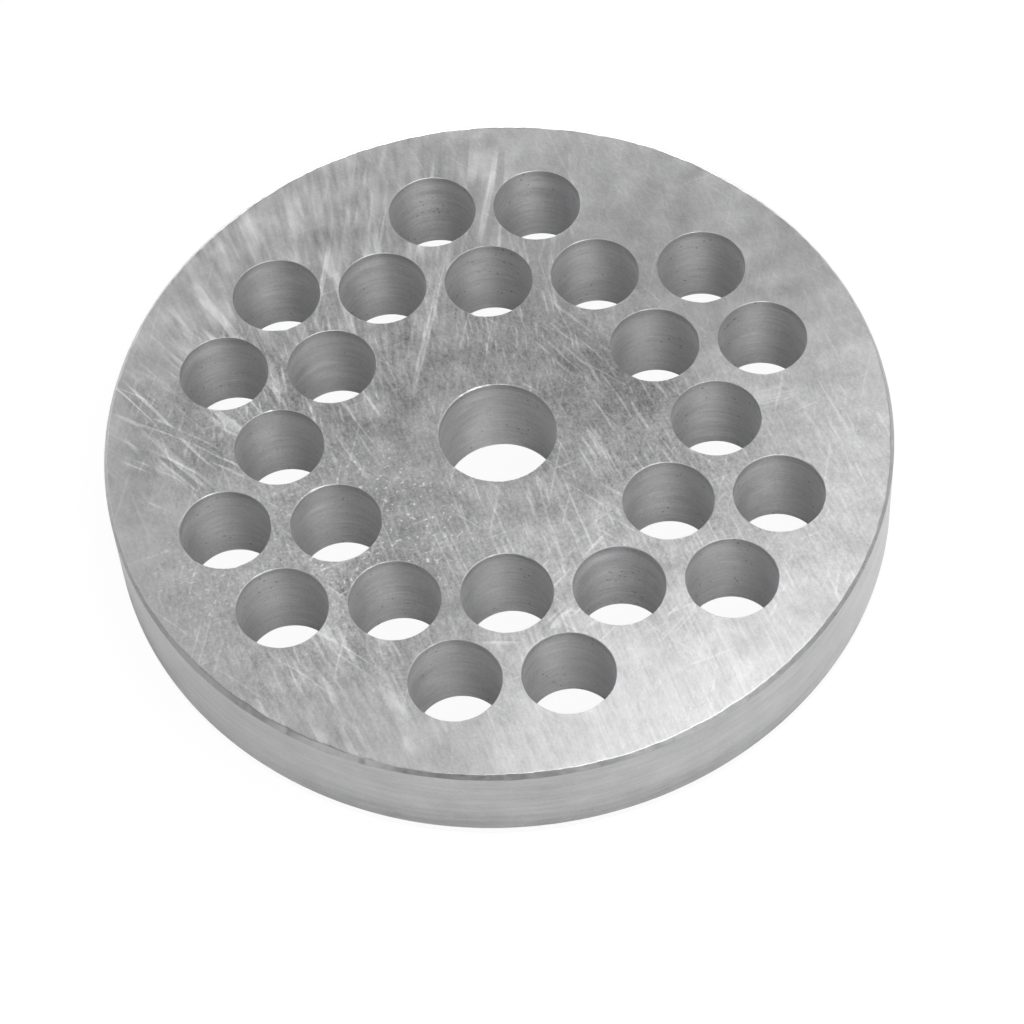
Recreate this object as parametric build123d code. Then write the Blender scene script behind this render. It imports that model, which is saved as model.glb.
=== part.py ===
from build123d import *
import os
from math import hypot, sqrt

# Meat grinder plate: a steel disc with a bore for the grinder's hub stud, ringed by a hexagonal
# field of drilled holes. It is turned, drilled and then ground flat on both faces.
# Millimetres. The origin is the centre of the underside, with +Z along the bore.

# Driving dimensions
PLATE_DIAMETER = 70.0
PLATE_THICKNESS = 9.5
STUD_BORE_DIAMETER = 10.4
MINCE_HOLE_DIAMETER = 8.0
HOLE_PITCH = 9.7

# Plain steel left undrilled: a ring about the bore, where the knife's hub turns, and a ring at
# the edge, where the grinder's body carries the plate.
HUB_LAND = 5.0
RIM_LAND = 4.5

# Edge breaks, each measured along the face
CUTTING_RIM_BREAK = 0.35
SEAT_RIM_BREAK = 0.8
STUD_BORE_BREAK = 0.15
MINCE_HOLE_BREAK = 0.1

# Drills run this far past both faces.
DRILL_OVERRUN = 1.0


def turned_disc():
    """The blank: a disc revolved from its half section, with its rim broken at both faces."""
    radius = PLATE_DIAMETER / 2
    with BuildPart() as blank:
        with BuildSketch(Plane.XZ):
            with BuildLine():
                Polyline(
                    (0, 0),
                    (radius - SEAT_RIM_BREAK, 0),
                    (radius, SEAT_RIM_BREAK),
                    (radius, PLATE_THICKNESS - CUTTING_RIM_BREAK),
                    (radius - CUTTING_RIM_BREAK, PLATE_THICKNESS),
                    (0, PLATE_THICKNESS),
                    close=True,
                )
            make_face()
        revolve(axis=Axis.Z)
    return blank.part


def drilled_hole(diameter, edge_break):
    """The metal that a drill takes out, with the small break at the mouth of each face."""
    radius = diameter / 2
    mouth = radius + edge_break
    with BuildPart() as drilling:
        with BuildSketch(Plane.XZ):
            with BuildLine():
                Polyline(
                    (0, -DRILL_OVERRUN),
                    (mouth, -DRILL_OVERRUN),
                    (mouth, 0),
                    (radius, edge_break),
                    (radius, PLATE_THICKNESS - edge_break),
                    (mouth, PLATE_THICKNESS),
                    (mouth, PLATE_THICKNESS + DRILL_OVERRUN),
                    (0, PLATE_THICKNESS + DRILL_OVERRUN),
                    close=True,
                )
            make_face()
        revolve(axis=Axis.Z)
    return drilling.part


def mince_hole_centres():
    """The points of a hexagonal lattice whose holes leave both plain rings whole."""
    hole_radius = MINCE_HOLE_DIAMETER / 2
    nearest = STUD_BORE_DIAMETER / 2 + HUB_LAND + hole_radius
    furthest = PLATE_DIAMETER / 2 - RIM_LAND - hole_radius
    row_spacing = HOLE_PITCH * sqrt(3) / 2
    reach = int(PLATE_DIAMETER / HOLE_PITCH)
    centres = []
    for row in range(-reach, reach + 1):
        for column in range(-reach, reach + 1):
            x = (column + row % 2 / 2) * HOLE_PITCH
            y = row * row_spacing
            if nearest <= hypot(x, y) <= furthest:
                centres.append((x, y))
    return centres


plate = turned_disc() - drilled_hole(STUD_BORE_DIAMETER, STUD_BORE_BREAK)
mince_hole = drilled_hole(MINCE_HOLE_DIAMETER, MINCE_HOLE_BREAK)
plate -= [Pos(x, y) * mince_hole for x, y in mince_hole_centres()]

os.makedirs("parts", exist_ok=True)
export_step(plate, "parts/grinder_plate.step")
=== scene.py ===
import math

import bpy
import numpy as np
from bpy.props import FloatProperty, FloatVectorProperty, IntProperty, PointerProperty
from mathutils import Matrix, Vector
from mathutils.geometry import delaunay_2d_cdt


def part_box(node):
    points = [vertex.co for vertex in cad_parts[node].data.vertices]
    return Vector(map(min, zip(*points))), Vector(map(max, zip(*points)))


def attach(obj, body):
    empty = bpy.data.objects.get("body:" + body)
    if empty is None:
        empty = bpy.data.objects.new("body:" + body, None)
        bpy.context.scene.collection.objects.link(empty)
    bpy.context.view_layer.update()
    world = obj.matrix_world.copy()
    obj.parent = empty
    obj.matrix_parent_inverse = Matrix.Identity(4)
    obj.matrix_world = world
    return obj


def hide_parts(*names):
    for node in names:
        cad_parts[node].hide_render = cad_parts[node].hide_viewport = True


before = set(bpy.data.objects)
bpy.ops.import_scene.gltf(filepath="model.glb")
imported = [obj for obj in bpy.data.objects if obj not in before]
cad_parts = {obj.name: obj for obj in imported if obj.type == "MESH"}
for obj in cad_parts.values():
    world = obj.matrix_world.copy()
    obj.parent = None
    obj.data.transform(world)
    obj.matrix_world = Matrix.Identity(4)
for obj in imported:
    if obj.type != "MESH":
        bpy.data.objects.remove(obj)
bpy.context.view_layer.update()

CAD_NODE = "grinder_plate"
CAD_LOW, CAD_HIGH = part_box(CAD_NODE)

bl_info = {
    "name": "Meat Grinder Plate",
    "version": (1, 0, 0),
    "blender": (4, 5, 0),
    "location": "View3D > Sidebar > Grinder Plate",
    "description": "Builds the worn steel hole plate of a meat grinder and a small studio for it",
    "category": "Object",
}

MM = 0.001


# ---------------------------------------------------------------- colours

def linear(hex_colour):
    """Turns a written sRGB hex colour into the linear numbers that shaders use."""
    channels = []
    for start in (1, 3, 5):
        value = int(hex_colour[start:start + 2], 16) / 255.0
        if value <= 0.04045:
            channels.append(value / 12.92)
        else:
            channels.append(((value + 0.055) / 1.055) ** 2.4)
    return tuple(channels)


# ---------------------------------------------------------------- settings

def length(name, description, millimetres):
    """One length setting, written in millimetres and kept in metres."""
    return FloatProperty(
        name=name, description=description, default=millimetres * MM, min=0.0,
        precision=5, subtype="DISTANCE", unit="LENGTH")


def share(name, description, default):
    """One setting between none and all."""
    return FloatProperty(
        name=name, description=description, default=default, min=0.0, max=1.0, subtype="FACTOR")


def colour(name, description, hex_colour):
    """One colour setting, written as it looks on a screen."""
    return FloatVectorProperty(
        name=name, description=description, default=linear(hex_colour), size=3, min=0.0, max=1.0,
        subtype="COLOR")


class GRINDER_PG_sizes(bpy.types.PropertyGroup):
    """Sizes of the plate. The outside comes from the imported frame."""
    plate_diameter: length("Plate diameter", "Across the round plate", (CAD_HIGH.x - CAD_LOW.x) / MM)
    plate_thickness: length(
        "Plate thickness", "From the seat face to the cutting face", (CAD_HIGH.z - CAD_LOW.z) / MM)
    stud_bore_diameter: length("Stud bore", "Bore in the middle that runs on the worm's stud", 10.4)
    mince_hole_diameter: length("Mince hole", "Across each hole that the meat is pressed through", 8.0)
    hole_pitch: length("Hole pitch", "Between the middles of two neighbouring holes", 9.7)
    hub_land: length("Hub land", "Plain steel kept between the bore and the nearest holes", 5.0)
    rim_land: length("Rim land", "Plain steel kept between the outer holes and the rim", 4.5)
    cutting_rim_break: length("Cutting side rim break", "Width of the break round the cutting face", 0.35)
    seat_rim_break: length("Seat side rim break", "Width of the break round the seat face", 0.8)
    hole_break: length("Hole edge break", "Width of the worn break at the mouth of each hole", 0.055)
    bore_break: length("Bore edge break", "Width of the worn break at the mouth of the bore", 0.05)
    wear_seed: IntProperty(name="Wear seed", description="Which set of nicks the edges get", default=7, min=0)


class GRINDER_PG_finish(bpy.types.PropertyGroup):
    """Colours and polish of the steel."""
    face_steel: colour("Ground face", "Colour of the ground faces", "#C2C2C3")
    rim_steel: colour("Turned rim", "Colour of the turned rim", "#AEAEAF")
    bore_steel: colour("Drilled wall", "Colour inside the drilled holes", "#D9D9DA")
    edge_steel: colour("Worn edge", "Colour of the burnished edges", "#BFBFC0")
    face_roughness: share("Ground face roughness", "How dull the ground faces are", 0.30)
    rim_roughness: share("Turned rim roughness", "How dull the rim is", 0.42)
    bore_roughness: share("Drilled wall roughness", "How dull the drilled walls are", 0.46)
    edge_roughness: share("Worn edge roughness", "How dull the edges are", 0.31)


class GRINDER_PG_stage(bpy.types.PropertyGroup):
    """Camera, floor and lamps."""
    camera_elevation: FloatProperty(
        name="Camera elevation", description="Height of the camera as an angle above the floor",
        default=math.radians(56.621), subtype="ANGLE", unit="ROTATION")
    camera_azimuth: FloatProperty(
        name="Camera azimuth", description="Turn of the camera to the right of the front",
        default=math.radians(0.95), subtype="ANGLE", unit="ROTATION")
    camera_roll: FloatProperty(
        name="Camera roll", description="Turn of the camera about its own view line",
        default=math.radians(-4.592), subtype="ANGLE", unit="ROTATION")
    camera_distance: length("Camera distance", "From the camera to the point it looks at", 327.958)
    target_x: FloatProperty(
        name="Target x", description="Point on the floor in the middle of the view",
        default=0.746 * MM, subtype="DISTANCE", unit="LENGTH")
    target_y: FloatProperty(
        name="Target y", description="Point on the floor in the middle of the view",
        default=-2.277 * MM, subtype="DISTANCE", unit="LENGTH")
    lens: FloatProperty(
        name="Lens", description="Focal length for a sensor 36 mm wide", default=127.49, min=1.0)
    floor_colour: colour("Floor", "Colour of the floor", "#F4F4F4")
    # Painted shade: the floor that the plate hides is given a darker grey, for the plate's shadow.
    under_plate_shade_colour: colour("Floor under the plate", "Colour of the floor that the plate hides", "#8A8A8A")
    room_colour: colour("Room", "Colour of the light from the walls of the room", "#FFFFFF")
    room_level: share("Room level", "How bright the low walls of the room are", 0.45)
    white_share: share("White floor", "How much of the floor is shown as plain white", 0.95)


# ---------------------------------------------------------------- shape

# Rings of an edge break, as shares of its width: inset from the wall, drop from the face. The first and the
# last two lie on the face and on the wall, so that both stay flat right up to the break. The break itself is
# flat between its two slightly rounded corners.
BREAK_SHAPE = (
    (1.4, 0.0), (1.02, 0.0), (0.98, 0.02), (0.94, 0.06), (0.06, 0.94), (0.02, 0.98), (0.0, 1.02), (0.0, 1.4))

# Points round the mince holes, the bore and the rim.
HOLE_POINTS = 96
BORE_POINTS = 144
RIM_POINTS = 1080

# Plain collars on the faces, from the wall to where the filling of the face begins, in millimetres.
HOLE_COLLAR = 0.55
CUTTING_RIM_COLLAR = 1.1
SEAT_RIM_COLLAR = 1.6

# Rings of the walls: depths below the cutting face, and the height of the last one above the seat face.
HOLE_WALL_DEPTHS = (1.0, 2.6, 4.5, 6.6)
HOLE_WALL_FOOT = 1.0
RIM_WALL_DEPTHS = (1.3, 2.6, 4.4, 6.2)
RIM_WALL_FOOT = 1.4

# The least and greatest width of each worn break, in millimetres.
HOLE_BREAK_LIMITS = (0.015, 0.2)
HOLE_SEAT_BREAK_LIMITS = (0.02, 0.2)
BORE_BREAK_LIMITS = (0.02, 0.25)
CUTTING_RIM_BREAK_LIMITS = (0.1, 0.6)
SEAT_RIM_BREAK_LIMITS = (0.6, 0.95)

# How far the walls stray from round, and how deep the rim may dip, in millimetres.
OUT_OF_ROUND = 0.006
DEEPEST_DIP = 0.02

# Wear of the edges. Azimuths and widths are degrees and depths are millimetres.
SHELTERED_SHARE = 0.4
HOLE_DENTS = 3
HOLE_DENT_WIDTHS = (8.0, 22.0)
HOLE_DENT_DEPTHS = (0.01, 0.05)
BORE_CHIP_AZIMUTHS = (96.0, 104.0, 111.0, 118.0, 127.0)
BORE_CHIP_WIDTH = 7.0
BORE_CHIP_DEPTH = 0.06
CHATTER_MARKS = 14
CHATTER_START = -78.0
CHATTER_SPACING = 5.0
CHATTER_WIDTH = 3.5
CHATTER_DEPTHS = (0.04, 0.12)
RIM_NICKS = (
    (-87.0, 2.3, 0.05), (-91.5, 1.4, 0.04), (-64.0, 2.0, 0.05), (-57.5, 1.5, 0.04), (-49.0, 2.2, 0.05),
    (-131.0, 2.5, 0.05), (-124.0, 1.9, 0.05), (-117.0, 2.8, 0.06), (-111.5, 1.8, 0.05), (-20.0, 2.2, 0.06))
SMALL_NICKS = 26
SMALL_NICK_WIDTHS = (0.8, 2.4)
SMALL_NICK_DEPTHS = (0.01, 0.04)

# The finish of each face of the mesh, in the order of the plate's materials.
CUTTING_FACE, SEAT_FACE, TURNED_RIM, DRILLED_WALL, WORN_EDGE = range(5)


class Skin:
    """Collects rings of points and the faces between them, in millimetres."""

    def __init__(self):
        self.points = []
        self.faces = []
        self.finishes = []

    def ring(self, centre, radius, height):
        """Adds a closed ring of points and returns their numbers."""
        turn = np.arange(len(radius)) * 2.0 * math.pi / len(radius)
        first = len(self.points)
        x = centre[0] + radius * np.cos(turn)
        y = centre[1] + radius * np.sin(turn)
        self.points.extend(zip(x.tolist(), y.tolist(), height.tolist()))
        return list(range(first, first + len(radius)))

    def strip(self, upper, lower, finish, hollow):
        """Joins two rings with a band of faces that looks outward, or inward in a hollow."""
        count = len(upper)
        for i in range(count):
            j = (i + 1) % count
            corners = (upper[i], lower[i], lower[j], upper[j])
            self.faces.append(corners[::-1] if hollow else corners)
            self.finishes.append(finish)

    def walk(self, rings, finish, hollow):
        """Joins a whole row of rings, one after the other."""
        for upper, lower in zip(rings, rings[1:]):
            self.strip(upper, lower, finish, hollow)

    def flat(self, outer, inner_rings, finish, looks_up):
        """Fills the flat face between the outer ring and the rings round its holes."""
        rings = [outer] + inner_rings
        numbers = [n for ring in rings for n in ring]
        ring_of = {n: i for i, ring in enumerate(rings) for n in ring}
        place = {n: i for i, n in enumerate(numbers)}
        flat_points = [Vector(self.points[n][:2]) for n in numbers]
        edges = []
        for ring in rings:
            edges += [(place[a], place[b]) for a, b in zip(ring, ring[1:] + ring[:1])]
        made, _, triangles, sources, _, _ = delaunay_2d_cdt(flat_points, edges, [], 0, 1e-6)
        if len(made) != len(numbers):
            raise RuntimeError("the flat face could not be filled: its rings touch each other")
        for triangle in triangles:
            corners = tuple(numbers[sources[i][0]] for i in triangle)
            touched = {ring_of[n] for n in corners}
            # a triangle whose corners are all on the ring round one hole lies over that hole
            if len(touched) == 1 and touched != {0}:
                continue
            self.faces.append(corners if looks_up else corners[::-1])
            self.finishes.append(finish)

    def piece(self, name, materials):
        """Makes the object, in metres."""
        mesh = bpy.data.meshes.new(name)
        mesh.from_pydata([(x * MM, y * MM, z * MM) for x, y, z in self.points], [], self.faces)
        for material in materials:
            mesh.materials.append(material)
        mesh.polygons.foreach_set("material_index", self.finishes)
        mesh.polygons.foreach_set("use_smooth", [True] * len(self.faces))
        mesh.update()
        made = bpy.data.objects.new(name, mesh)
        bpy.context.scene.collection.objects.link(made)
        return made


def uneven(draw, count, waves, amount):
    """Smooth seeded unevenness round a closed edge."""
    turn = np.arange(count) * 2.0 * math.pi / count
    total = np.zeros(count)
    for wave in waves:
        total += draw.normal() * np.cos(wave * turn + draw.uniform(0.0, 2.0 * math.pi))
    return amount * total / math.sqrt(len(waves))


def dent(count, azimuth, width, depth):
    """One rounded dent in a closed edge. The azimuth and width are angles in degrees."""
    turn = np.arange(count) * 360.0 / count
    off = (turn - azimuth + 180.0) % 360.0 - 180.0
    return depth * np.clip(1.0 - (off / (width / 2.0)) ** 2, 0.0, None)


def random_dent(draw, count, widths, depths):
    """One rounded dent anywhere in a closed edge."""
    azimuth = draw.uniform(0.0, 360.0)
    width = draw.uniform(*widths)
    depth = draw.uniform(*depths)
    return dent(count, azimuth, width, depth)


def edge_rings(skin, centre, wall, sign, face, step, width):
    """Rings of one edge break. sign is +1 where steel lies inside the wall's radius, -1 round a hole. step is
    +1 at the cutting face and -1 at the seat face."""
    rings = []
    for inset, drop in BREAK_SHAPE:
        rings.append(skin.ring(centre, wall - sign * inset * width, face - step * drop * width))
    return rings


def worn_round_hole(skin, centre, radius, thickness, top_width, low_width, wall_wave):
    """Skins one round hole from face to face and returns its flat ring on each face."""
    count = len(top_width)
    even = np.ones(count)
    wall = even * radius
    top_flat = skin.ring(centre, wall + HOLE_COLLAR, even * thickness)
    top = edge_rings(skin, centre, wall, -1.0, even * thickness, 1.0, top_width)
    low = edge_rings(skin, centre, wall, -1.0, even * 0.0, -1.0, low_width)
    low_flat = skin.ring(centre, wall + HOLE_COLLAR, even * 0.0)
    wall_rings = []
    for depth in (*HOLE_WALL_DEPTHS, thickness - HOLE_WALL_FOOT):
        wave = wall_wave * math.sin(depth * 1.7 + centre[0])
        wall_rings.append(skin.ring(centre, wall + wave, even * (thickness - depth)))
    skin.walk([top_flat] + top[:2], CUTTING_FACE, True)
    skin.walk(top[1:-1], WORN_EDGE, True)
    skin.walk(top[-2:] + wall_rings + low[:-3:-1], DRILLED_WALL, True)
    skin.walk(low[-2:0:-1], WORN_EDGE, True)
    skin.walk([low[1], low[0], low_flat], SEAT_FACE, True)
    return top_flat, low_flat


def mince_hole_centres(sizes):
    """The hexagonal field of holes: all its points that clear the hub and the rim."""
    pitch = sizes.hole_pitch / MM
    hole = sizes.mince_hole_diameter / MM / 2.0
    nearest = sizes.stud_bore_diameter / MM / 2.0 + sizes.hub_land / MM + hole
    furthest = sizes.plate_diameter / MM / 2.0 - sizes.rim_land / MM - hole
    reach = math.ceil(furthest / pitch) + 1
    centres = []
    for row in range(-reach, reach + 1):
        for column in range(-reach, reach + 1):
            x = (column + row % 2 / 2.0) * pitch
            y = row * pitch * math.sqrt(3.0) / 2.0
            if nearest <= math.hypot(x, y) <= furthest:
                centres.append((x, y))
    return centres


def build_plate_skin(sizes):
    """The whole plate as one closed skin with worn, uneven edges."""
    draw = np.random.RandomState(sizes.wear_seed)
    skin = Skin()
    radius = sizes.plate_diameter / MM / 2.0
    thickness = sizes.plate_thickness / MM
    top_rings, low_rings = [], []

    for centre in mince_hole_centres(sizes):
        # the holes at the front have taken more knocks
        width = sizes.hole_break / MM * (1.0 if centre[1] < 0.0 else SHELTERED_SHARE)
        top_width = width * (1.0 + uneven(draw, HOLE_POINTS, (2, 3, 5, 9, 14), 0.35))
        for _ in range(HOLE_DENTS):
            top_width += random_dent(draw, HOLE_POINTS, HOLE_DENT_WIDTHS, HOLE_DENT_DEPTHS)
        low_width = width * (1.0 + uneven(draw, HOLE_POINTS, (2, 5, 9), 0.2))
        top, low = worn_round_hole(
            skin, centre, sizes.mince_hole_diameter / MM / 2.0, thickness,
            np.clip(top_width, *HOLE_BREAK_LIMITS), np.clip(low_width, *HOLE_SEAT_BREAK_LIMITS),
            uneven(draw, HOLE_POINTS, (2, 3), OUT_OF_ROUND))
        top_rings.append(top)
        low_rings.append(low)

    width = sizes.bore_break / MM
    top_width = width * (1.0 + uneven(draw, BORE_POINTS, (2, 3, 7, 13, 23), 0.25))
    for azimuth in BORE_CHIP_AZIMUTHS:
        top_width += dent(BORE_POINTS, azimuth, BORE_CHIP_WIDTH, BORE_CHIP_DEPTH)
    for step in range(CHATTER_MARKS):
        azimuth = CHATTER_START + CHATTER_SPACING * step
        top_width += dent(BORE_POINTS, azimuth, CHATTER_WIDTH, draw.uniform(*CHATTER_DEPTHS))
    low_width = width * (1.0 + uneven(draw, BORE_POINTS, (2, 5, 9), 0.2))
    top, low = worn_round_hole(
        skin, (0.0, 0.0), sizes.stud_bore_diameter / MM / 2.0, thickness,
        np.clip(top_width, *BORE_BREAK_LIMITS), low_width, uneven(draw, BORE_POINTS, (2, 3), OUT_OF_ROUND))
    top_rings.append(top)
    low_rings.append(low)

    even = np.ones(RIM_POINTS)
    wall = even * radius
    width = sizes.cutting_rim_break / MM
    turn = np.arange(RIM_POINTS) * 2.0 * math.pi / RIM_POINTS
    # the break is wider at the front than at the back
    waves = uneven(draw, RIM_POINTS, (2, 3, 5, 8, 13, 21, 34), 0.10)
    top_width = width * (0.75 - 0.3 * np.sin(turn) + waves)
    top_width += width * uneven(draw, RIM_POINTS, (55, 89, 144, 233), 0.07)
    for azimuth, wide, deep in RIM_NICKS:
        top_width += dent(RIM_POINTS, azimuth, wide, deep)
    for _ in range(SMALL_NICKS):
        top_width += random_dent(draw, RIM_POINTS, SMALL_NICK_WIDTHS, SMALL_NICK_DEPTHS)
    top_width = np.clip(top_width, *CUTTING_RIM_BREAK_LIMITS)
    low_width = sizes.seat_rim_break / MM * (1.0 + uneven(draw, RIM_POINTS, (2, 3, 5, 8), 0.03))
    low_width = np.clip(low_width, *SEAT_RIM_BREAK_LIMITS)
    top_flat = skin.ring((0.0, 0.0), wall - CUTTING_RIM_COLLAR, even * thickness)
    top = edge_rings(skin, (0.0, 0.0), wall, 1.0, even * thickness, 1.0, top_width)
    low = edge_rings(skin, (0.0, 0.0), wall, 1.0, even * 0.0, -1.0, low_width)
    low_flat = skin.ring((0.0, 0.0), wall - SEAT_RIM_COLLAR, even * 0.0)
    wall_rings = []
    for depth in (*RIM_WALL_DEPTHS, thickness - RIM_WALL_FOOT):
        dips = np.clip(uneven(draw, RIM_POINTS, (2, 3, 5, 7, 11), OUT_OF_ROUND), -DEEPEST_DIP, 0.0)
        wall_rings.append(skin.ring((0.0, 0.0), wall + dips, even * (thickness - depth)))
    skin.walk([top_flat] + top[:2], CUTTING_FACE, False)
    skin.walk(top[1:-1], WORN_EDGE, False)
    skin.walk(top[-2:] + wall_rings + low[:-3:-1], TURNED_RIM, False)
    skin.walk(low[-2:0:-1], WORN_EDGE, False)
    skin.walk([low[1], low[0], low_flat], SEAT_FACE, False)

    skin.flat(top_flat, top_rings, CUTTING_FACE, True)
    skin.flat(low_flat, low_rings, SEAT_FACE, False)
    return skin


# ---------------------------------------------------------------- patterns

# Settings of nodes that come again and again.
FLAT_NOISE = {"noise_dimensions": "2D"}
SOFT_STEP = {"interpolation_type": "SMOOTHSTEP"}

# How far and over what distance the scratches bend, in millimetres, and how steeply they rise.
BEND = 0.5
BEND_WAVE = 6.25
CREST_RISE = 0.11

# How far the outline of a soft patch strays, in millimetres, and in how many waves a millimetre.
PATCH_PUSH = 9.0
PATCH_WAVES = 0.22


def add(tree, kind, settings, inputs):
    """Adds one node, gives it its settings and sets or links its inputs, and returns its outputs."""
    made = tree.nodes.new(kind)
    for name, value in settings.items():
        setattr(made, name, value)
    for key, value in inputs.items():
        if isinstance(value, bpy.types.NodeSocket):
            tree.links.new(value, made.inputs[key])
        else:
            made.inputs[key].default_value = value
    return made.outputs


def pattern(name, numbers):
    """Starts a node group that turns a place on the plate, in millimetres, into one value."""
    tree = bpy.data.node_groups.new(name, "ShaderNodeTree")
    tree.interface.new_socket("Place", in_out="INPUT", socket_type="NodeSocketVector")
    for number in numbers:
        kind = "NodeSocketVector" if number == "Centre" else "NodeSocketFloat"
        tree.interface.new_socket(number, in_out="INPUT", socket_type=kind)
    tree.interface.new_socket("Value", in_out="OUTPUT", socket_type="NodeSocketFloat")
    return tree, add(tree, "NodeGroupInput", {}, {})


def laid_along(tree, place, given):
    """Turns a place into the direction of a pattern. Gives it in millimetres and, measured in the pattern's
    length and width, as shares."""
    back = add(tree, "ShaderNodeMath", {"operation": "MULTIPLY"}, {0: given["Turn"], 1: -1.0})[0]
    turned = add(tree, "ShaderNodeVectorRotate", {"rotation_type": "Z_AXIS"}, {
        "Vector": place, "Angle": back})[0]
    cell = add(tree, "ShaderNodeCombineXYZ", {}, {0: given["Length"], 1: given["Width"], 2: 1.0})[0]
    scaled = add(tree, "ShaderNodeVectorMath", {"operation": "DIVIDE"}, {0: turned, 1: cell})[0]
    return turned, scaled


def scratches_pattern():
    """Scratches in clumps, all in one direction: the crests of a stretched noise, above a level that sets
    how sparse they are. The length and width are those of one wave of the noise, about twice a scratch."""
    tree, given = pattern("clumped_scratches", ("Turn", "Length", "Width", "Sparse", "Seed"))
    shift = add(tree, "ShaderNodeCombineXYZ", {}, {0: given["Seed"], 1: given["Seed"]})[0]
    moved = add(tree, "ShaderNodeVectorMath", {"operation": "ADD"}, {0: given["Place"], 1: shift})[0]
    drift = add(tree, "ShaderNodeTexNoise", FLAT_NOISE, {
        "Vector": moved, "Scale": 1.0 / BEND_WAVE, "Detail": 1.0})
    bent = add(tree, "ShaderNodeVectorMath", {"operation": "MULTIPLY_ADD"}, {
        0: drift["Color"], 1: (BEND, BEND, 0.0), 2: moved})[0]
    _, scaled = laid_along(tree, bent, given)
    waves = add(tree, "ShaderNodeTexNoise", FLAT_NOISE, {
        "Vector": scaled, "Scale": 1.0, "Detail": 1.0, "Roughness": 0.4})[0]
    top = add(tree, "ShaderNodeMath", {"operation": "ADD"}, {0: given["Sparse"], 1: CREST_RISE})[0]
    crest = add(tree, "ShaderNodeMapRange", SOFT_STEP, {
        "Value": waves, "From Min": given["Sparse"], "From Max": top})[0]
    wide = add(tree, "ShaderNodeVectorMath", {"operation": "MULTIPLY"}, {0: scaled, 1: (2.2, 0.3, 1.0)})[0]
    swell = add(tree, "ShaderNodeTexNoise", FLAT_NOISE, {"Vector": wide, "Scale": 1.0, "Detail": 1.0})[0]
    clump = add(tree, "ShaderNodeMapRange", SOFT_STEP, {
        "Value": swell, "From Min": 0.36, "From Max": 0.62})[0]
    add(tree, "NodeGroupOutput", {}, {0: masked(tree, crest, clump)})
    return tree


def lines_pattern():
    """Fine parallel lines: noise stretched along one direction, from -1 to 1."""
    tree, given = pattern("fine_lines", ("Turn", "Length", "Width", "Seed"))
    _, scaled = laid_along(tree, given["Place"], given)
    shift = add(tree, "ShaderNodeCombineXYZ", {}, {0: given["Seed"], 1: given["Seed"]})[0]
    moved = add(tree, "ShaderNodeVectorMath", {"operation": "ADD"}, {0: scaled, 1: shift})[0]
    lines = add(tree, "ShaderNodeTexNoise", FLAT_NOISE, {
        "Vector": moved, "Scale": 1.0, "Detail": 1.5, "Roughness": 0.6})[0]
    value = add(tree, "ShaderNodeMapRange", {}, {
        "Value": lines, "From Min": 0.25, "From Max": 0.75, "To Min": -1.0, "To Max": 1.0})[0]
    add(tree, "NodeGroupOutput", {}, {0: value})
    return tree


def patch_pattern():
    """A soft-edged patch with an uneven outline: 1 in the middle, 0 outside."""
    tree, given = pattern("soft_patch", ("Centre", "Inner", "Outer"))
    warp = add(tree, "ShaderNodeTexNoise", FLAT_NOISE, {
        "Vector": given["Place"], "Scale": PATCH_WAVES, "Detail": 2.0})
    even = add(tree, "ShaderNodeVectorMath", {"operation": "SUBTRACT"}, {
        0: warp["Color"], 1: (0.5, 0.5, 0.5)})[0]
    push = add(tree, "ShaderNodeVectorMath", {"operation": "SCALE"}, {0: even, "Scale": PATCH_PUSH})[0]
    moved = add(tree, "ShaderNodeVectorMath", {"operation": "ADD"}, {0: given["Place"], 1: push})[0]
    flat = add(tree, "ShaderNodeVectorMath", {"operation": "MULTIPLY"}, {0: moved, 1: (1.0, 1.0, 0.0)})[0]
    away = add(tree, "ShaderNodeVectorMath", {"operation": "DISTANCE"}, {
        0: flat, 1: given["Centre"]})["Value"]
    value = add(tree, "ShaderNodeMapRange", SOFT_STEP, {
        "Value": away, "From Min": given["Outer"], "From Max": given["Inner"]})[0]
    add(tree, "NodeGroupOutput", {}, {0: value})
    return tree


def mark_pattern():
    """One long mark at a known place, tapered at its ends and made of fine streaks."""
    tree, given = pattern("single_mark", ("Centre", "Turn", "Length", "Width"))
    off = add(tree, "ShaderNodeVectorMath", {"operation": "SUBTRACT"}, {
        0: given["Place"], 1: given["Centre"]})[0]
    turned, scaled = laid_along(tree, off, given)
    flat = add(tree, "ShaderNodeVectorMath", {"operation": "MULTIPLY"}, {0: scaled, 1: (2.0, 2.0, 0.0)})[0]
    away = add(tree, "ShaderNodeVectorMath", {"operation": "LENGTH"}, {0: flat})["Value"]
    shape = add(tree, "ShaderNodeMapRange", SOFT_STEP, {"Value": away, "From Min": 1.0, "From Max": 0.4})[0]
    thin = add(tree, "ShaderNodeVectorMath", {"operation": "MULTIPLY"}, {0: turned, 1: (0.12, 3.2, 1.0)})[0]
    streaks = add(tree, "ShaderNodeTexNoise", FLAT_NOISE, {"Vector": thin, "Scale": 1.0, "Detail": 1.0})[0]
    depth = add(tree, "ShaderNodeMapRange", {}, {
        "Value": streaks, "From Min": 0.35, "From Max": 0.6, "To Min": 0.35})[0]
    add(tree, "NodeGroupOutput", {}, {0: masked(tree, shape, depth)})
    return tree


def use(tree, group, inputs):
    """Adds one of the patterns above and returns its value."""
    return add(tree, "ShaderNodeGroup", {"node_tree": group}, inputs)[0]


def summed(tree, layers):
    """Adds up patterns, each with its weight."""
    total = 0.0
    for weight, value in layers:
        total = add(tree, "ShaderNodeMath", {"operation": "MULTIPLY_ADD"}, {0: value, 1: weight, 2: total})[0]
    return total


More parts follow.
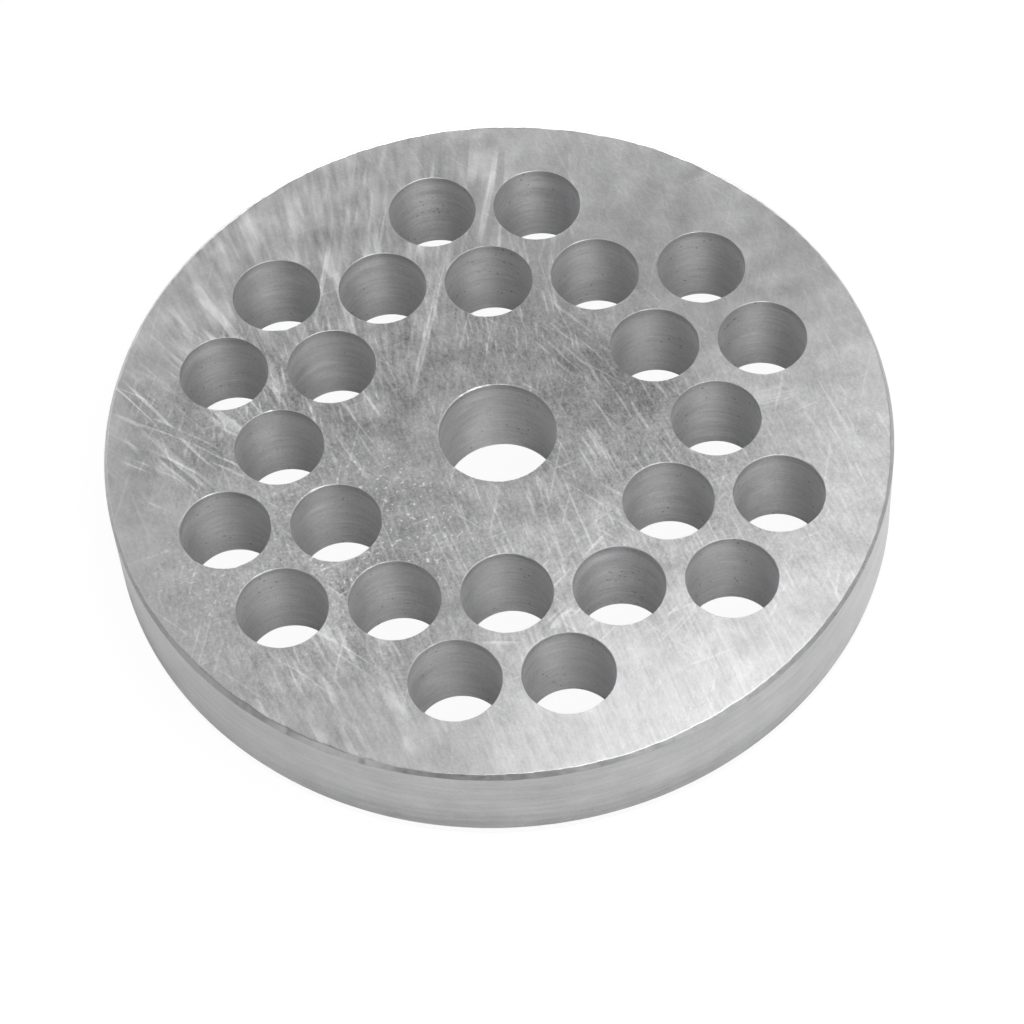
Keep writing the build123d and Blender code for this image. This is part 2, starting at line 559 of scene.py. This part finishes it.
def masked(tree, value, mask):
    """Keeps a value only where its mask is, or that share of it."""
    return add(tree, "ShaderNodeMath", {"operation": "MULTIPLY"}, {0: value, 1: mask})[0]


def centred_noise(tree, place, wave, detail, squash=(1.0, 1.0, 1.0)):
    """Plain noise from about -1 to 1, in waves of so many millimetres, or longer where it is squashed."""
    scale = tuple(part / wave for part in squash)
    scaled = add(tree, "ShaderNodeVectorMath", {"operation": "MULTIPLY"}, {0: place, 1: scale})[0]
    noise = add(tree, "ShaderNodeTexNoise", {}, {
        "Vector": scaled, "Scale": 1.0, "Detail": detail, "Roughness": 0.55})[0]
    return add(tree, "ShaderNodeMapRange", {"clamp": False}, {
        "Value": noise, "From Min": 0.25, "From Max": 0.75, "To Min": -1.0, "To Max": 1.0})[0]


def steel(material, base, roughness, tone, dullness, height, depth, grooved=0.0):
    """A bare steel: its colour is lightened or darkened by the tone and its surface follows the height, which
    is so many millimetres deep. Level tool grooves, where it is grooved, spread the reflections up and down
    but not sideways."""
    tree = material.node_tree
    gain = add(tree, "ShaderNodeMath", {"operation": "ADD"}, {0: tone, 1: 1.0})[0]
    lit = add(tree, "ShaderNodeVectorMath", {"operation": "SCALE"}, {0: tuple(base), "Scale": gain})[0]
    dull = add(tree, "ShaderNodeMath", {"operation": "ADD", "use_clamp": True}, {
        0: dullness, 1: roughness})[0]
    bump = add(tree, "ShaderNodeBump", {}, {"Strength": 1.0, "Distance": depth * MM, "Height": height})[0]
    inputs = {"Base Color": lit, "Metallic": 1.0, "Roughness": dull, "Normal": bump}
    if grooved:
        outward = add(tree, "ShaderNodeNewGeometry", {}, {})["Normal"]
        along = add(tree, "ShaderNodeVectorMath", {"operation": "CROSS_PRODUCT"}, {
            0: outward, 1: (0.0, 0.0, 1.0)})[0]
        inputs.update({"Tangent": along, "Anisotropic": grooved, "Anisotropic Rotation": 0.25})
    shader = add(tree, "ShaderNodeBsdfPrincipled", {}, inputs)[0]
    add(tree, "ShaderNodeOutputMaterial", {}, {"Surface": shader})
    return material


def start_material(name):
    """A new material, its node tree and the place on the plate in millimetres."""
    material = bpy.data.materials.new(name)
    material.use_nodes = True
    tree = material.node_tree
    tree.nodes.clear()
    coordinates = add(tree, "ShaderNodeTexCoord", {}, {})
    place = add(tree, "ShaderNodeVectorMath", {"operation": "SCALE"}, {
        0: coordinates["Object"], "Scale": 1.0 / MM})[0]
    return material, tree, place


def fan_place(tree, place, centre, radius):
    """The place measured along the rays that leave one centre, and across them at so many millimetres."""
    off = add(tree, "ShaderNodeVectorMath", {"operation": "SUBTRACT"}, {0: place, 1: centre})[0]
    parts = add(tree, "ShaderNodeSeparateXYZ", {}, {0: off})
    angle = add(tree, "ShaderNodeMath", {"operation": "ARCTAN2"}, {0: parts[1], 1: parts[0]})[0]
    flat = add(tree, "ShaderNodeVectorMath", {"operation": "MULTIPLY"}, {0: off, 1: (1.0, 1.0, 0.0)})[0]
    along = add(tree, "ShaderNodeVectorMath", {"operation": "LENGTH"}, {0: flat})["Value"]
    across = add(tree, "ShaderNodeMath", {"operation": "MULTIPLY"}, {0: angle, 1: radius})[0]
    return add(tree, "ShaderNodeCombineXYZ", {}, {0: along, 1: across})[0]


# The tables below place the wear of the cutting face. Places and sizes are millimetres, turns are degrees
# from the x axis, and a weight is the share by which the steel looks lighter or, below zero, darker.

# Where the grain of the face is rubbed up: middle, inner and outer reach, weight. The whole face is rubbed
# a little.
RUBBED = ((-4.0, -3.0, 12.0, 31.0, 0.65), (-23.0, 4.0, 3.0, 13.0, 0.40), (-20.0, -17.0, 6.0, 16.0, 0.40),
          (23.0, -5.0, 8.0, 18.0, 0.28))
EVENLY_RUBBED = 0.36

# Broad smudges: middle, inner and outer reach, weight.
SMUDGES = (
    (-9.0, 17.0, 6.0, 18.0, -0.09), (11.0, 0.0, 5.0, 14.0, -0.17), (19.0, -10.0, 4.0, 10.0, -0.13),
    (-9.0, -19.0, 2.0, 8.0, -0.14), (10.0, -32.0, 8.0, 15.0, 0.14), (32.0, -17.0, 3.0, 8.0, -0.12),
    (-28.0, 1.0, 2.0, 9.0, -0.24), (-19.0, 6.0, 2.0, 6.0, -0.18), (4.0, 12.0, 4.0, 10.0, -0.16),
    (11.0, 4.0, 3.0, 8.0, -0.10), (-10.0, -12.0, 2.0, 7.0, -0.18), (-13.0, 0.0, 2.0, 8.0, -0.10))

# Scratches in clumps: middle, inner and outer reach of their area, whether they fan out, turn, length and
# width of one wave, how sparse, seed, weight.
SCRATCHES = (
    # soft smears that fan out at the back left
    (-17.0, 19.0, 8.0, 20.0, True, 0.0, 13.0, 1.5, 0.50, 11.0, 0.30),
    (-19.0, 14.0, 7.0, 18.0, True, 8.0, 10.0, 0.9, 0.53, 51.0, 0.38),
    (-4.0, 24.0, 7.0, 14.0, False, 82.0, 12.0, 0.9, 0.53, 53.0, 0.34),
    # bright scratches on the dark smudges at the far left and between the left holes
    (-27.0, 4.0, 5.0, 12.0, False, 130.0, 12.0, 0.55, 0.56, 5.0, 0.55),
    (-27.0, 2.0, 5.0, 11.0, False, 147.0, 9.0, 0.45, 0.60, 17.0, 0.42),
    (-26.0, 2.0, 5.0, 11.0, False, 70.0, 4.0, 0.40, 0.62, 19.0, 0.26),
    (-18.0, 7.0, 4.0, 9.0, False, 98.0, 4.5, 0.42, 0.56, 23.0, 0.62),
    (-14.0, 4.0, 3.0, 9.0, False, 118.0, 9.0, 0.50, 0.58, 25.0, 0.42),
    # round the bore
    (3.0, 13.0, 5.0, 11.0, False, 96.0, 5.5, 0.36, 0.57, 31.0, 0.42),
    (9.0, 8.0, 5.0, 11.0, False, 131.0, 7.0, 0.42, 0.59, 33.0, 0.34),
    (12.0, 0.0, 5.0, 12.0, False, 114.0, 8.0, 0.42, 0.58, 35.0, 0.36),
    (2.0, -13.0, 6.0, 13.0, False, 104.0, 9.0, 0.50, 0.56, 37.0, 0.30),
    (7.0, -17.0, 3.0, 9.0, False, 44.0, 7.0, 0.42, 0.60, 39.0, 0.42),
    # specks, which are scratches as wide as they are long
    (-11.0, -9.0, 4.0, 12.0, False, 40.0, 0.5, 0.36, 0.62, 61.0, 0.75),
    (-24.0, -13.0, 3.0, 9.0, False, 20.0, 0.6, 0.40, 0.60, 63.0, 0.35),
    # strokes at the front
    (-14.0, -24.0, 5.0, 12.0, False, 114.0, 9.0, 0.95, 0.52, 67.0, 0.34),
    (10.0, -27.0, 6.0, 16.0, False, 107.0, 12.0, 1.2, 0.52, 71.0, 0.12),
    (20.0, -12.0, 5.0, 16.0, False, 62.0, 3.0, 0.42, 0.64, 73.0, 0.20))

# Long thin scratches wherever the face is rubbed: turn, length and width of one wave, how sparse, seed.
LONG_SCRATCHES = (
    (77.0, 16.0, 0.46, 0.67, 41.0), (140.0, 14.0, 0.42, 0.69, 43.0), (20.0, 12.0, 0.42, 0.72, 47.0),
    (107.0, 14.0, 0.42, 0.64, 49.0))
LONG_SCRATCH_WEIGHT = 0.26

# Fine grinding lines: middle, inner and outer reach, whether they fan out, turn, length and width of one
# wave, seed, weight.
GRINDING_LINES = (
    (-14.0, 18.0, 9.0, 24.0, True, 0.0, 5.0, 0.45, 3.0, 0.16),
    (-14.0, -24.0, 5.0, 14.0, False, 115.0, 6.0, 0.55, 69.0, 0.13),
    (9.0, -28.0, 8.0, 20.0, False, 107.0, 9.0, 0.30, 2.0, 0.08),
    (22.0, -12.0, 5.0, 20.0, False, 112.0, 4.0, 0.30, 13.0, 0.08))

# The longest single marks: middle, turn, length, width, weight.
MARKS = (
    (-5.7, 12.0, 76.8, 20.0, 1.0, 0.55), (0.4, 26.5, 78.5, 14.0, 1.0, 0.50),
    (-15.1, 18.4, 80.2, 13.0, 0.6, 0.60), (-0.8, -21.8, -4.6, 4.5, 0.5, 0.35),
    (8.7, -19.7, 25.8, 6.5, 0.6, 0.35), (-13.2, -1.1, 118.0, 10.0, 0.6, 0.40),
    (24.8, 2.0, 11.5, 6.5, 3.2, 0.22), (7.0, 12.5, 131.8, 9.0, 0.4, 0.35))

# Where the fans of strokes start, the distance at which their widths are true, and the turn of the grain.
FAN_CENTRE = (-8.0, -25.0, 0.0)
FAN_RADIUS = 35.0
GRAIN_TURN = 105.0

# How deep the relief of each finish is, in millimetres.
FACE_RELIEF = 0.004
RIM_RELIEF = 0.003
WALL_RELIEF = 0.004
EDGE_RELIEF = 0.0015

# How strongly the tool grooves of the rim and of the drilled walls stretch the reflections.
RIM_GROOVES = 0.6
WALL_GROOVES = 0.82

# Pits in the drilled walls, in millimetres: their usual spacing, their reach and their darkest part. The last
# value is the height of the band of painted shade at the top of each wall, under the edge of the hole's
# mouth.
PIT_SPACING = 0.77
PIT_EDGE = 0.14
PIT_CORE = 0.07
MOUTH_SHADE_BAND = 1.3

# Painted shade on the lower part of the rim at the front, which stands for the floor's contact shadow: the
# middle of its stretch, inner and outer reach, and the heights between which it fades, in millimetres.
FOOT_SHADE_CENTRE = (5.0, -35.0, 0.0)
FOOT_SHADE_INNER = 16.0
FOOT_SHADE_OUTER = 34.0
FOOT_SHADE_TOP = 5.0
FOOT_SHADE_FULL = 0.5


def cutting_face_material(finish, groups, face_height):
    """Hardened steel, surface ground and then rubbed by the knife and by scouring: a soft grey sheen with
    cloudy smudges, fans of soft strokes, bright thin scratches and small specks. The real grinding grain is
    about 0.02 mm wide. It is drawn at 0.2 to 0.6 mm, as coarse as it needs to show."""
    material, tree, place = start_material("ground_tool_steel_cutting_face")
    fan = fan_place(tree, place, FAN_CENTRE, FAN_RADIUS)

    def area(x, y, inner, outer):
        """A soft-edged part of the face."""
        return use(tree, groups["patch"], {
            "Place": place, "Centre": (x, y, 0.0), "Inner": inner, "Outer": outer})

    def scratches(fans, turn, along, across, sparse, seed):
        """One family of scratches."""
        return use(tree, groups["scratches"], {
            "Place": fan if fans else place, "Turn": math.radians(turn), "Length": along, "Width": across,
            "Sparse": sparse, "Seed": seed})

    def lines(fans, turn, along, across, seed):
        """One family of fine lines."""
        return use(tree, groups["lines"], {
            "Place": fan if fans else place, "Turn": math.radians(turn), "Length": along, "Width": across,
            "Seed": seed})

    cloudy = centred_noise(tree, place, 10.0, 3.0)
    clouds = centred_noise(tree, place, 2.4, 3.0)
    mottle = lines(False, GRAIN_TURN, 1.3, 0.60, 81.0)
    flecks = lines(False, GRAIN_TURN, 0.55, 0.30, 83.0)
    grain = centred_noise(tree, place, 0.22, 1.0)
    rubbed = summed(tree, [(weight, area(*where)) for *where, weight in RUBBED] + [(EVENLY_RUBBED, 1.0)])
    fine = summed(tree, ((0.10, mottle), (0.12, flecks), (0.14, grain)))

    layers = [(0.08, cloudy), (0.12, clouds), (1.0, masked(tree, fine, rubbed))]
    for *where, weight in SMUDGES:
        layers.append((weight, area(*where)))
    for x, y, inner, outer, *family, weight in SCRATCHES:
        layers.append((weight, masked(tree, area(x, y, inner, outer), scratches(*family))))
    for x, y, inner, outer, *family, weight in GRINDING_LINES:
        layers.append((weight, masked(tree, area(x, y, inner, outer), lines(*family))))
    for family in LONG_SCRATCHES:
        layers.append((LONG_SCRATCH_WEIGHT, masked(tree, scratches(False, *family), rubbed)))
    for x, y, turn, along, across, weight in MARKS:
        layers.append((weight, use(tree, groups["mark"], {
            "Place": place, "Centre": (x, y, face_height), "Turn": math.radians(turn), "Length": along,
            "Width": across})))
    tone = summed(tree, layers)
    dullness = summed(tree, ((0.012, cloudy), (0.012, clouds)))
    height = summed(tree, ((0.4, grain), (0.3, flecks), (0.3, mottle)))
    return steel(material, finish.face_steel, finish.face_roughness, tone, dullness, height, FACE_RELIEF)


def seat_face_material(finish, groups):
    """The same hardened steel, surface ground in one direction and little worn: even straight lines.
    They are drawn 0.3 mm wide, coarser than the real ones, so that they show."""
    material, tree, place = start_material("ground_tool_steel_seat_face")
    cloudy = centred_noise(tree, place, 10.0, 3.0)
    grain = centred_noise(tree, place, 0.18, 1.0)
    lines = use(tree, groups["lines"], {
        "Place": place, "Turn": math.radians(6.0), "Length": 12.0, "Width": 0.3, "Seed": 9.0})
    scratches = use(tree, groups["scratches"], {
        "Place": place, "Turn": math.radians(63.0), "Length": 10.0, "Width": 0.5, "Sparse": 0.62,
        "Seed": 71.0})
    tone = summed(tree, ((0.05, cloudy), (0.03, grain), (0.07, lines), (0.3, scratches)))
    dullness = summed(tree, ((0.04, cloudy),))
    height = summed(tree, ((0.4, grain), (0.5, lines), (-1.0, scratches)))
    return steel(material, finish.face_steel, finish.face_roughness, tone, dullness, height, FACE_RELIEF)


def rim_material(finish, groups):
    """Tool steel turned on a lathe: faint level lines and long streaks, soft stains, and painted shade that
    darkens the lower part of the rim at the front. The real tool lines are about 0.1 mm apart. They are drawn
    at 0.2 mm, so that they show."""
    material, tree, place = start_material("turned_tool_steel_rim")
    streaks = centred_noise(tree, place, 0.6, 3.0, (0.07, 0.07, 1.0))
    lines = centred_noise(tree, place, 0.2, 2.0, (0.08, 0.08, 1.0))
    clouds = centred_noise(tree, place, 3.3, 2.0)
    grain = centred_noise(tree, place, 0.18, 1.0)
    front = use(tree, groups["patch"], {
        "Place": place, "Centre": FOOT_SHADE_CENTRE, "Inner": FOOT_SHADE_INNER, "Outer": FOOT_SHADE_OUTER})
    level = add(tree, "ShaderNodeSeparateXYZ", {}, {0: place})[2]
    foot_shade = add(tree, "ShaderNodeMapRange", SOFT_STEP, {
        "Value": level, "From Min": FOOT_SHADE_TOP, "From Max": FOOT_SHADE_FULL})[0]
    # Painted shade: the lower part of the rim at the front is darkened, for the floor's contact shadow.
    tone = summed(tree, (
        (0.09, streaks), (0.04, lines), (0.10, clouds), (0.06, grain), (-0.24, masked(tree, foot_shade, front))))
    dullness = summed(tree, ((0.04, clouds),))
    height = summed(tree, ((0.4, lines), (0.3, grain)))
    return steel(
        material, finish.rim_steel, finish.rim_roughness, tone, dullness, height, RIM_RELIEF, RIM_GROOVES)


def drilled_wall_material(finish, face_height):
    """Tool steel as the drill left it: level lines round each hole, crowds of small dark pits, and painted
    shade that darkens the top of each wall under the mouth's edge. The real drill lines are finer, and are
    drawn at
    0.22 mm so that they show."""
    material, tree, place = start_material("drilled_tool_steel_wall")
    lines = centred_noise(tree, place, 0.22, 2.0, (0.08, 0.08, 1.0))
    bands = centred_noise(tree, place, 0.85, 2.0, (0.21, 0.21, 1.0))
    grain = centred_noise(tree, place, 0.25, 2.0)
    crowd = centred_noise(tree, place, 4.5, 1.0)
    crowded = add(tree, "ShaderNodeMapRange", SOFT_STEP, {
        "Value": crowd, "From Min": -0.1, "From Max": 0.3})[0]
    cells = add(tree, "ShaderNodeTexVoronoi", {}, {"Vector": place, "Scale": 1.0 / PIT_SPACING})
    spots = add(tree, "ShaderNodeMapRange", SOFT_STEP, {
        "Value": cells["Distance"], "From Min": PIT_EDGE / PIT_SPACING,
        "From Max": PIT_CORE / PIT_SPACING})[0]
    pits = masked(tree, spots, crowded)
    level = add(tree, "ShaderNodeSeparateXYZ", {}, {0: place})[2]
    # Painted shade: the wall is darkened towards the mouth of the hole, under its edge.
    mouth = add(tree, "ShaderNodeMapRange", SOFT_STEP, {
        "Value": level, "From Min": face_height - MOUTH_SHADE_BAND, "From Max": face_height})[0]
    tone = summed(tree, ((0.09, lines), (0.05, bands), (0.08, grain), (-0.45, pits), (-0.22, mouth)))
    dullness = summed(tree, ((0.03, bands),))
    height = summed(tree, ((0.5, lines), (-1.0, pits)))
    return steel(
        material, finish.bore_steel, finish.bore_roughness, tone, dullness, height, WALL_RELIEF, WALL_GROOVES)


def worn_edge_material(finish):
    """The same steel where handling has burnished the edges: smoother, with tiny nicks."""
    material, tree, place = start_material("burnished_tool_steel_edge")
    nicks = centred_noise(tree, place, 0.45, 2.0)
    tone = summed(tree, ((0.07, nicks),))
    dullness = summed(tree, ((0.04, nicks),))
    return steel(material, finish.edge_steel, finish.edge_roughness, tone, dullness, nicks, EDGE_RELIEF)


# ---------------------------------------------------------------- operators

class GRINDER_OT_plate(bpy.types.Operator):
    """Build the worn steel plate in place of the plain CAD plate"""
    bl_idname = "grinder.plate"
    bl_label = "Add Grinder Plate"

    def execute(self, context):
        sizes = context.scene.grinder_sizes
        finish = context.scene.grinder_finish
        groups = {"scratches": scratches_pattern(), "lines": lines_pattern(), "patch": patch_pattern(),
                  "mark": mark_pattern()}
        face_height = sizes.plate_thickness / MM
        materials = [
            cutting_face_material(finish, groups, face_height),
            seat_face_material(finish, groups),
            rim_material(finish, groups),
            drilled_wall_material(finish, face_height),
            worn_edge_material(finish)]
        plate = build_plate_skin(sizes).piece("worn_grinder_plate", materials)
        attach(plate, "root")
        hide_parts(CAD_NODE)
        return {"FINISHED"}


# Soft square panels of light. Each line gives the azimuth from the right and the elevation in degrees, the
# distance and the side in metres, and how bright the panel's face is, where 1 is the white of paper.
LAMPS = {
    "front_panel": (-95.0, 57.0, 0.50, 0.34, 2.6),
    "front_right_panel": (-48.0, 56.0, 0.50, 0.34, 4.9),
    "front_right_low_panel": (-40.0, 22.0, 0.50, 0.30, 0.6),
    "left_low_panel": (-165.0, 20.0, 0.50, 0.16, 0.85),
    "right_panel": (0.0, 35.0, 0.50, 0.30, 1.4),
    "front_left_panel": (-134.0, 29.0, 0.50, 0.22, 1.0),
    "back_low_panel": (90.0, 20.0, 0.50, 0.30, 7.2),
    "back_left_panel": (135.0, 45.0, 0.50, 0.30, 1.05),
    "overhead_far_right_panel": (45.0, 60.0, 0.28, 0.14, 1.1),
    "overhead_right_panel": (45.0, 75.0, 0.28, 0.14, 0.85),
    "overhead_back_panel": (90.0, 75.0, 0.28, 0.14, 0.55),
}

# The walls of the room are at their full brightness up to the first angle above the floor, and fade out up to
# the second. Towards the front they fade out between these shares of the way from the middle to the back.
WALL_FULL = math.radians(17.0)
WALL_END = math.radians(30.0)
WALL_FRONT_END = -0.2
WALL_FRONT_FULL = 0.05

# The floor: half its width in metres, its gap under the plate, and where the open floor begins, in radii of
# the plate. The camera's sensor is in millimetres.
FLOOR_HALF_WIDTH = 3.0
FLOOR_GAP = 0.02 * MM
OPEN_FLOOR = 1.8
SENSOR_WIDTH = 36.0


def add_lamp(name, azimuth, elevation, distance, size, level):
    """A square soft panel that faces the plate."""
    data = bpy.data.lights.new(name, "AREA")
    data.shape = "SQUARE"
    data.size = size
    data.energy = level * math.pi * size * size
    lamp = bpy.data.objects.new(name, data)
    a, e = math.radians(azimuth), math.radians(elevation)
    lamp.location = Vector((math.cos(e) * math.cos(a), math.cos(e) * math.sin(a), math.sin(e))) * distance
    lamp.rotation_euler = lamp.location.to_track_quat("Z", "Y").to_euler()
    lamp.visible_camera = False
    bpy.context.scene.collection.objects.link(lamp)
    return lamp


def floor_material(stage, shadow_radius):
    """Matt white card. The camera and the reflections see it nearly as plain white, and the part that
    is left to the lamps keeps the plate's shadow. Reflections see the shaded card under the plate and close
    round it, and under the plate the card is painted grey as shade, so that it lights the holes less from
    below."""
    material = bpy.data.materials.new("matt_white_card")
    material.use_nodes = True
    tree = material.node_tree
    tree.nodes.clear()
    coordinates = add(tree, "ShaderNodeTexCoord", {}, {})
    away = add(tree, "ShaderNodeVectorMath", {"operation": "LENGTH"}, {0: coordinates["Object"]})["Value"]
    open_floor = add(tree, "ShaderNodeMapRange", SOFT_STEP, {
        "Value": away, "From Min": shadow_radius, "From Max": OPEN_FLOOR * shadow_radius})[0]
    path = add(tree, "ShaderNodeLightPath", {}, {})
    mirrored = masked(tree, path["Is Glossy Ray"], open_floor)
    seen = add(tree, "ShaderNodeMath", {"operation": "MAXIMUM"}, {0: path["Is Camera Ray"], 1: mirrored})[0]
    seen = add(tree, "ShaderNodeMath", {"operation": "MAXIMUM"}, {0: seen, 1: path["Is Transmission Ray"]})[0]
    part = masked(tree, seen, stage.white_share)
    # Painted shade: the card under the plate takes the darker grey, for the plate's shadow.
    beyond = add(tree, "ShaderNodeMath", {"operation": "GREATER_THAN"}, {0: away, 1: shadow_radius})[0]
    shade = add(tree, "ShaderNodeMix", {"data_type": "RGBA"}, {
        0: beyond, 6: (*stage.under_plate_shade_colour, 1.0), 7: (*stage.floor_colour, 1.0)})[2]
    card = add(tree, "ShaderNodeBsdfDiffuse", {}, {"Color": shade})[0]
    white = add(tree, "ShaderNodeEmission", {}, {"Color": (1.0, 1.0, 1.0, 1.0), "Strength": 1.0})[0]
    shader = add(tree, "ShaderNodeMixShader", {}, {0: part, 1: card, 2: white})[0]
    add(tree, "ShaderNodeOutputMaterial", {}, {"Surface": shader})
    return material


def add_floor(stage, shadow_radius):
    """A wide flat card just under the plate."""
    half = FLOOR_HALF_WIDTH
    corners = ((-half, -half, 0.0), (half, -half, 0.0), (half, half, 0.0), (-half, half, 0.0))
    mesh = bpy.data.meshes.new("floor")
    mesh.from_pydata(corners, [], [(0, 1, 2, 3)])
    mesh.materials.append(floor_material(stage, shadow_radius))
    floor = bpy.data.objects.new("floor", mesh)
    floor.location.z = CAD_LOW.z - FLOOR_GAP
    bpy.context.scene.collection.objects.link(floor)


def plain_room(stage):
    """A dark room with soft pale walls at the back and the sides, which the plate mirrors when it is seen
    from low down."""
    world = bpy.data.worlds.new("plain_room")
    world.use_nodes = True
    tree = world.node_tree
    tree.nodes.clear()
    outward = add(tree, "ShaderNodeTexCoord", {}, {})["Generated"]
    parts = add(tree, "ShaderNodeSeparateXYZ", {}, {0: outward})
    low = add(tree, "ShaderNodeMapRange", SOFT_STEP, {
        "Value": parts[2], "From Min": math.sin(WALL_END), "From Max": math.sin(WALL_FULL)})[0]
    level = add(tree, "ShaderNodeMapRange", SOFT_STEP, {
        "Value": parts[1], "From Min": WALL_FRONT_END, "From Max": WALL_FRONT_FULL,
        "To Max": stage.room_level})[0]
    level = masked(tree, level, low)
    room = add(tree, "ShaderNodeBackground", {}, {"Color": (*stage.room_colour, 1.0), "Strength": level})[0]
    add(tree, "ShaderNodeOutputWorld", {}, {"Surface": room})
    return world


def add_camera(stage):
    """The camera, aimed at a point on the floor and rolled about its own view line."""
    az, el, roll = stage.camera_azimuth, stage.camera_elevation, stage.camera_roll
    back = Vector((math.sin(az) * math.cos(el), -math.cos(az) * math.cos(el), math.sin(el)))
    right = (-back).cross(Vector((0.0, 0.0, 1.0))).normalized()
    up = right.cross(-back)
    image_right = math.cos(roll) * right + math.sin(roll) * up
    image_up = -math.sin(roll) * right + math.cos(roll) * up
    data = bpy.data.cameras.new("camera")
    data.sensor_width = SENSOR_WIDTH
    data.lens = stage.lens
    camera = bpy.data.objects.new("camera", data)
    turn = Matrix((image_right, image_up, back)).transposed().to_4x4()
    place = Vector((stage.target_x, stage.target_y, 0.0)) + back * stage.camera_distance
    camera.matrix_world = Matrix.Translation(place) @ turn
    bpy.context.scene.collection.objects.link(camera)
    bpy.context.scene.camera = camera


class GRINDER_OT_stage(bpy.types.Operator):
    """Add the floor, the soft lamps, the plain room and the camera"""
    bl_idname = "grinder.stage"
    bl_label = "Add Studio"

    def execute(self, context):
        scene = context.scene
        stage = scene.grinder_stage
        add_floor(stage, scene.grinder_sizes.plate_diameter / 2.0)
        for name, lamp in LAMPS.items():
            add_lamp(name, *lamp)
        scene.world = plain_room(stage)
        scene.view_settings.view_transform = "Standard"
        add_camera(stage)
        return {"FINISHED"}


class GRINDER_PT_panel(bpy.types.Panel):
    """Lists what this add-on builds"""
    bl_idname = "GRINDER_PT_panel"
    bl_label = "Grinder Plate"
    bl_space_type = "VIEW_3D"
    bl_region_type = "UI"
    bl_category = "Grinder Plate"

    def draw(self, context):
        scene = context.scene
        for settings in (scene.grinder_sizes, scene.grinder_finish, scene.grinder_stage):
            box = self.layout.box()
            for name in settings.__annotations__:
                box.prop(settings, name)
        self.layout.operator(GRINDER_OT_plate.bl_idname)
        self.layout.operator(GRINDER_OT_stage.bl_idname)


CLASSES = (
    GRINDER_PG_sizes, GRINDER_PG_finish, GRINDER_PG_stage,
    GRINDER_OT_plate, GRINDER_OT_stage, GRINDER_PT_panel)


def register():
    """Adds the settings, the operators and the panel."""
    for made in CLASSES:
        bpy.utils.register_class(made)
    bpy.types.Scene.grinder_sizes = PointerProperty(type=GRINDER_PG_sizes)
    bpy.types.Scene.grinder_finish = PointerProperty(type=GRINDER_PG_finish)
    bpy.types.Scene.grinder_stage = PointerProperty(type=GRINDER_PG_stage)


def unregister():
    """Takes them away again."""
    del bpy.types.Scene.grinder_stage
    del bpy.types.Scene.grinder_finish
    del bpy.types.Scene.grinder_sizes
    for made in reversed(CLASSES):
        bpy.utils.unregister_class(made)


def main():
    """Builds everything."""
    register()
    bpy.ops.grinder.plate()
    bpy.ops.grinder.stage()


if __name__ == "__main__":
    main()
